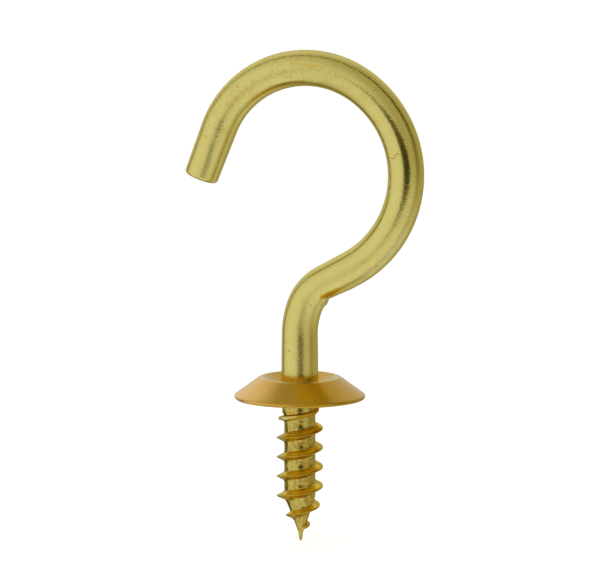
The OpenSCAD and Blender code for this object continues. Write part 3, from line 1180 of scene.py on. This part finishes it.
@dataclass
class Collar:
    """The pressed sheet collar: a conical flank, a rounded crest, and a dish that grips the shank."""

    radius: float = 7.1
    height: float = COLLAR_H
    crest_r: float = 4.15
    sheet: float = 0.55
    crest_in_r: float = 0.1                   # inside radius of the bend along the crest
    dish: float = math.radians(28)            # slope of the dish inside the crest
    rim_round: float = 0.26                   # radius of the rounded rim
    rim_lift: float = 0.21                    # height of that rounding's centre above the seat
    bore_r: float = SHANK_R
    sides: int = 192
    brass: CollarBrass = field(default_factory=CollarBrass)

    @property
    def crest_out_r(self) -> float:
        """Outside radius of the bend along the crest."""
        return self.crest_in_r + self.sheet

    @property
    def crest_z(self) -> float:
        """Height of the centre of that bend."""
        return self.height - self.crest_out_r

    @property
    def flank(self) -> float:
        """Works out the slope of the flank, which runs straight from the crest's bend to the rim's.

        Returns:
            The slope, in radians below level.
        """
        run = self.radius - self.rim_round - self.crest_r
        drop = self.crest_z - self.rim_lift
        shrink = self.crest_out_r - self.rim_round
        return math.atan2(drop, run) + math.asin(shrink / math.hypot(run, drop))

    def profile(self) -> Section:
        """Draws the section of the sheet.

        Returns:
            Its points, each a radius and a height, from the bore over the crest and back under.
        """

        def arc(cr: float, cz: float, radius: float, start: float, end: float, steps: int) -> Section:
            """Returns points on an arc, with angles measured clockwise from straight up."""
            turns = np.linspace(start, end, steps)
            return [(cr + radius * math.sin(a), cz + radius * math.cos(a)) for a in turns]

        def dish_at(r: float, lift: float) -> tuple[float, float]:
            """Returns the point of the dish at a radius, on a line lifted off the crest's centre."""
            fall = (self.crest_r - r) * math.tan(self.dish)
            return r, self.crest_z + lift / math.cos(self.dish) - fall

        def spread(a: tuple[float, float], b: tuple[float, float], steps: int) -> Section:
            """Returns evenly spaced points from one to another, without the last."""
            return [tuple(np.add(a, np.subtract(b, a) * i / steps)) for i in range(steps)]

        rim_r = self.radius - self.rim_round
        foot = math.pi - math.acos(self.rim_lift / self.rim_round)
        crest = arc(self.crest_r, self.crest_z, self.crest_out_r, -self.dish, self.flank, 17)
        rim = arc(rim_r, self.rim_lift, self.rim_round, self.flank, foot, 13)
        inner = arc(self.crest_r, self.crest_z, self.crest_in_r, self.flank, -self.dish, 7)
        under_z = self.crest_in_r * math.cos(self.flank) + self.crest_z
        under_r = self.crest_r + self.crest_in_r * math.sin(self.flank)
        seat = (under_r + under_z / math.tan(self.flank), 0.0)
        top, bottom = dish_at(self.bore_r, self.crest_out_r), dish_at(self.bore_r, self.crest_in_r)
        return [
            *spread(top, crest[0], 6),
            *crest[:-1],
            *spread(crest[-1], rim[0], 10),
            *rim[:-1],
            *spread(rim[-1], seat, 2),
            *spread(seat, inner[0], 8),
            *inner[:-1],
            *spread(inner[-1], bottom, 5),
            *spread(bottom, top, 3),
        ]

    def build(self) -> bpy.types.Object:
        """Turns the section round the axis and dresses the collar.

        Returns:
            The collar's object.
        """
        section = np.array(self.profile())
        rings = circles(section[:, :1], section[:, 1:], angles(self.sides))
        faces = [face[::-1] for face in ring_faces(len(rings), self.sides, closed=True)]
        made = smooth_mesh("pressed_collar", rings.reshape(-1, 3), faces)
        self.dress(made)
        return made

    def dress(self, made: bpy.types.Object) -> None:
        """Gives the collar its brass and its place in the frame.

        Args:
            made: The collar's object.
        """
        made.data.materials.append(self.brass.material(self.crest_r, self.height))
        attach(made, "root")
        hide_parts("collar")


# ---------------------------------------------------------------------------------------------
# The studio
# ---------------------------------------------------------------------------------------------


@dataclass
class Camera:
    """The camera: where it looks, from where, and how long its lens is."""

    target: Point = (0.02, 0.0, 11.65)
    azimuth: float = 12.0
    elevation: float = 7.5
    distance: float = STAND_OFF
    lens: float = 203.7
    sensor: float = 36.0
    clip: tuple[float, float] = (10.0, 10000.0)     # the nearest and the farthest that it sees

    def build(self) -> bpy.types.Object:
        """Makes the camera and hands it to the scene.

        Returns:
            The camera's object.
        """
        data = bpy.data.cameras.new("camera")
        data.lens = self.lens
        data.sensor_width = self.sensor
        data.clip_start, data.clip_end = (limit * MM for limit in self.clip)
        made = bpy.data.objects.new("camera", data)
        bpy.context.scene.collection.objects.link(made)
        back = direction(self.azimuth, self.elevation)
        made.location = (Vector(self.target) + back * self.distance) * MM
        made.rotation_euler = (-back).to_track_quat("-Z", "Y").to_euler()
        bpy.context.scene.camera = made
        return made


@dataclass(frozen=True)
class Glow:
    """A soft pool of light on the tent: where its middle is, how wide it is, and what it adds."""

    azimuth: float
    elevation: float
    inner: float                              # how far from its middle it stays full, in degrees
    outer: float                              # and where it ends
    gain: float

    def level(self, graph: Graph, towards: Socket) -> Value:
        """Returns what the pool adds in a direction."""
        ends = (math.cos(math.radians(away)) for away in (self.outer, self.inner))
        return graph.along(towards, direction(self.azimuth, self.elevation)).ramp(*ends) * self.gain


@dataclass(frozen=True)
class Opening:
    """The dark oval in the tent that the lens looks in through, with its half sizes in degrees."""

    azimuth: float = 17.0
    elevation: float = 2.6
    wide: float = 22.3
    high: float = 12.0
    soft: float = 0.15                        # the share of its size over which its edge fades
    front: Range = (0.0, 0.3)                 # keeps the oval to the near side of the tent

    def mask(self, graph: Graph, towards: Socket) -> Value:
        """Shows where the opening is.

        Args:
            graph: The graph that the nodes are added to.
            towards: The direction from the middle of the tent.

        Returns:
            A mask that is 1 inside the oval.
        """
        centre = direction(self.azimuth, self.elevation)
        side = centre.cross(Vector((0, 0, 1))).normalized()
        across = graph.along(towards, side) / math.sin(math.radians(self.wide))
        rise = graph.along(towards, side.cross(centre)) / math.sin(math.radians(self.high))
        oval = (across * across + rise * rise) ** 0.5
        return oval.ramp(1 + self.soft, 1 - self.soft) * graph.along(towards, centre).ramp(*self.front)


@dataclass(frozen=True)
class Seam:
    """The dark seam that runs round the tent where the backdrop meets the front.

    It is thin overhead and on the left, and broad and soft on the right.
    """

    axis: tuple[float, float] = (-4.0, -18.0)     # azimuth and elevation of the circle's axis
    angle: float = 105.0                      # between the axis and the seam, in degrees
    half: float = 9.1                         # half the seam's width at the back, in degrees
    wide_right: float = 2.5                   # how many times wider it is towards +X
    wide_above: float = 0.24                  # and towards +Z
    edge: Range = (1.4, 0.4)                  # where it begins and is full, as shares of that half
    depth: float = 1.0                        # the share of the light that it takes, before the fade
    fade: Point = (-0.59, -0.88, 0.52)        # what is added to that towards +X, +Y and +Z

    def mask(self, graph: Graph, towards: Socket) -> Value:
        """Works out how much of the light the seam takes away.

        Args:
            graph: The graph that the nodes are added to.
            towards: The direction from the middle of the tent.

        Returns:
            The share of the light.
        """
        x, _, z = graph.split(towards)
        half = self.wide_right**x * math.radians(self.half) * self.wide_above**z
        off = abs(graph.along(towards, direction(*self.axis)) - math.cos(math.radians(self.angle)))
        depth = (graph.along(towards, self.fade) + self.depth).at_least(0).at_most(1)
        return (off / half).ramp(*self.edge) * depth


@dataclass(frozen=True)
class TentCloth:
    """Lit white cloth, brightest at the front left and behind, with a dark seam and an opening."""

    base: float = 0.57
    glows: tuple[Glow, ...] = (
        Glow(-80, 20, 15, 105, 0.20),
        Glow(-35, -3, 3, 85, 0.26),
        Glow(60, -56, 0, 69, 0.40),
        Glow(190, 34, 27, 47, 0.25),
    )
    seam: Seam = Seam()
    opening: Opening = Opening()
    black: float = 0.06                       # what the opening still gives
    warm: Colour = (1.0, 0.85, 0.26, 1.0)     # the tint of the dim cloth
    ember: Colour = (1.0, 0.78, 0.0, 1.0)     # the tint of the dimmest
    dim: Range = (0.1, 1.0)                   # levels over which warm gives way to white
    dimmest: Range = (0.0, 0.3)               # and over which ember gives way to warm

    def material(self) -> bpy.types.Material:
        """Builds the cloth, brighter and dimmer by direction from the middle of the tent.

        Returns:
            The material.
        """
        made, graph = new_material("tent_cloth")
        towards = graph.vector(VectorMaths.UNIT, graph.node("ShaderNodeTexCoord").outputs["Object"])
        level = sum((glow.level(graph, towards) for glow in self.glows), self.base)
        level = level * (1 - self.seam.mask(graph, towards))
        level = level * (1 - self.opening.mask(graph, towards) * (1 - self.black))
        tint = graph.mix(level.ramp(*self.dim), self.warm, WHITE)
        tint = graph.mix(level.ramp(*self.dimmest), self.ember, tint)
        graph.end(graph.node("ShaderNodeEmission", sockets={"Color": tint, "Strength": level}))
        return made


@dataclass
class LightTent:
    """A round tent of cloth that lights the model from every side."""

    radius: float = STAND_OFF
    sides: int = 48
    rows: int = 24
    cloth: TentCloth = field(default_factory=TentCloth)

    def build(self) -> bpy.types.Object:
        """Makes the tent, which the camera itself doesn't see.

        Returns:
            The tent's object.
        """
        tilt = np.linspace(-math.pi / 2, math.pi / 2, self.rows + 2)[1:-1, None]
        rings = circles(self.radius * np.cos(tilt), self.radius * np.sin(tilt), angles(self.sides))
        bottom = range(self.sides)
        top = range((self.rows - 1) * self.sides, self.rows * self.sides)
        faces = [*ring_faces(self.rows, self.sides), tuple(bottom)[::-1], tuple(top)]
        tent = smooth_mesh("light_tent", rings.reshape(-1, 3), faces)
        tent.data.materials.append(self.cloth.material())
        tent.visible_camera = False
        tent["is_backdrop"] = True
        return tent


@dataclass(frozen=True)
class FloorWhite:
    """Plain matt white that keeps a soft shadow, and is clear from below."""

    albedo: float = 0.85
    lift: float = 0.58                        # how much the white is lifted towards the viewer

    def material(self) -> bpy.types.Material:
        """Builds the finish.

        Returns:
            The material.
        """
        made, graph = new_material("floor_white")
        rays = graph.node("ShaderNodeLightPath").outputs
        kinds = ("Is Camera Ray", "Is Glossy Ray", "Is Transmission Ray")
        direct, mirrored, through = (Value(graph, rays[kind]) for kind in kinds)
        seen = (direct + mirrored + through).at_most(1)
        grey = (self.albedo, self.albedo, self.albedo, 1.0)
        matt = graph.node("ShaderNodeBsdfDiffuse", sockets={"Color": grey})
        glow = graph.node("ShaderNodeEmission", sockets={"Color": WHITE, "Strength": seen * self.lift})
        both = graph.node("ShaderNodeAddShader", sockets={0: matt.outputs[0], 1: glow.outputs[0]})
        clear = graph.node("ShaderNodeBsdfTransparent")
        below = graph.node("ShaderNodeNewGeometry").outputs["Backfacing"]
        sockets = {0: below, 1: both.outputs[0], 2: clear.outputs[0]}
        graph.end(graph.node("ShaderNodeMixShader", sockets=sockets))
        return made


@dataclass
class Floor:
    """The round floor that the point of the screw touches."""

    height: float
    radius: float = 130.0
    sides: int = 64
    white: FloorWhite = field(default_factory=FloorWhite)

    def build(self) -> bpy.types.Object:
        """Makes the floor.

        Returns:
            The floor's object.
        """
        rim = circles(self.radius, self.height, angles(self.sides))
        made = smooth_mesh("floor", rim, [tuple(range(self.sides))])
        made.data.materials.append(self.white.material())
        made.visible_glossy = False
        made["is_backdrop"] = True
        return made


def white_world(strength: float = 1.03) -> None:
    """Gives the scene a plain world, which shows beyond the floor and lights nothing in the tent.

    Args:
        strength: How bright it is. A shade over 1 stays white out to the picture's edges.
    """
    world = bpy.data.worlds.new("white")
    world.use_nodes = True
    graph = Graph(world.node_tree)
    sky = graph.node("ShaderNodeBackground", sockets={"Color": WHITE, "Strength": strength})
    graph.end(sky, Output.WORLD)
    bpy.context.scene.world = world


# ---------------------------------------------------------------------------------------------
# The whole scene
# ---------------------------------------------------------------------------------------------


def main() -> None:
    """Builds the hook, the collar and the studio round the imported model."""
    logging.basicConfig(level=logging.INFO, format="%(name)s: %(message)s")
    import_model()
    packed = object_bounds()
    bpy.context.scene.view_settings.view_transform = "Standard"

    for piece in (ThreadedHook(), Collar(), LightTent(), Floor(packed[0].z / MM)):
        made = piece.build()
        LOG.info("%s: %d points, %d faces", made.name, len(made.data.vertices), len(made.data.polygons))
    Camera().build()
    white_world()


if __name__ == "__main__":
    main()
